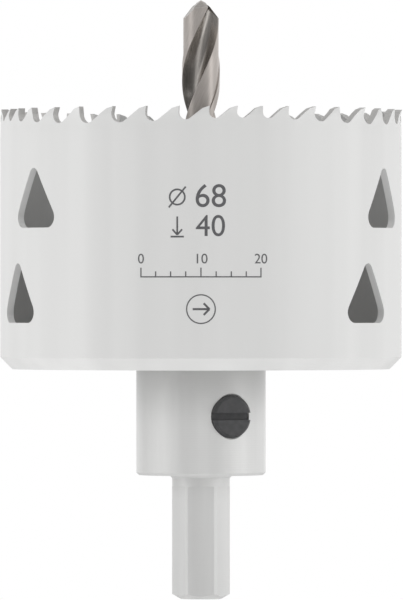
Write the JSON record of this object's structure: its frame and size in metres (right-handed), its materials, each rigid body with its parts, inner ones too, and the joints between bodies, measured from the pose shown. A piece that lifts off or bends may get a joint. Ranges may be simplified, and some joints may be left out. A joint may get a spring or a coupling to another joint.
{
  "type": "hole saw",
  "caption": "Hole saw with a hexagonal-shank arbor: a toothed cup with lever slots in its wall, and a twist drill on its axis that is held by a grub screw.",
  "frame": {"origin": "on the axis, in the end face of the hexagonal shank", "axes": "+Z along the tool's axis from the shank to the teeth and the drill's point; a flat of the shank faces -Y"},
  "size_m": [0.0674, 0.0674, 0.1006],
  "materials": {
    "cup_paint": "light grey satin paint",
    "arbor_steel": "fine turned, dull nickel grey",
    "drill_steel": "ground high-speed steel, bright",
    "black_oxide": "black oxide"
  },
  "bodies": {
    "root": {"saw_shell": "cup_paint", "base_plate": "cup_paint", "arbor": "arbor_steel", "pilot_drill": "drill_steel", "set_screw": "black_oxide"}
  },
  "joints": []
}
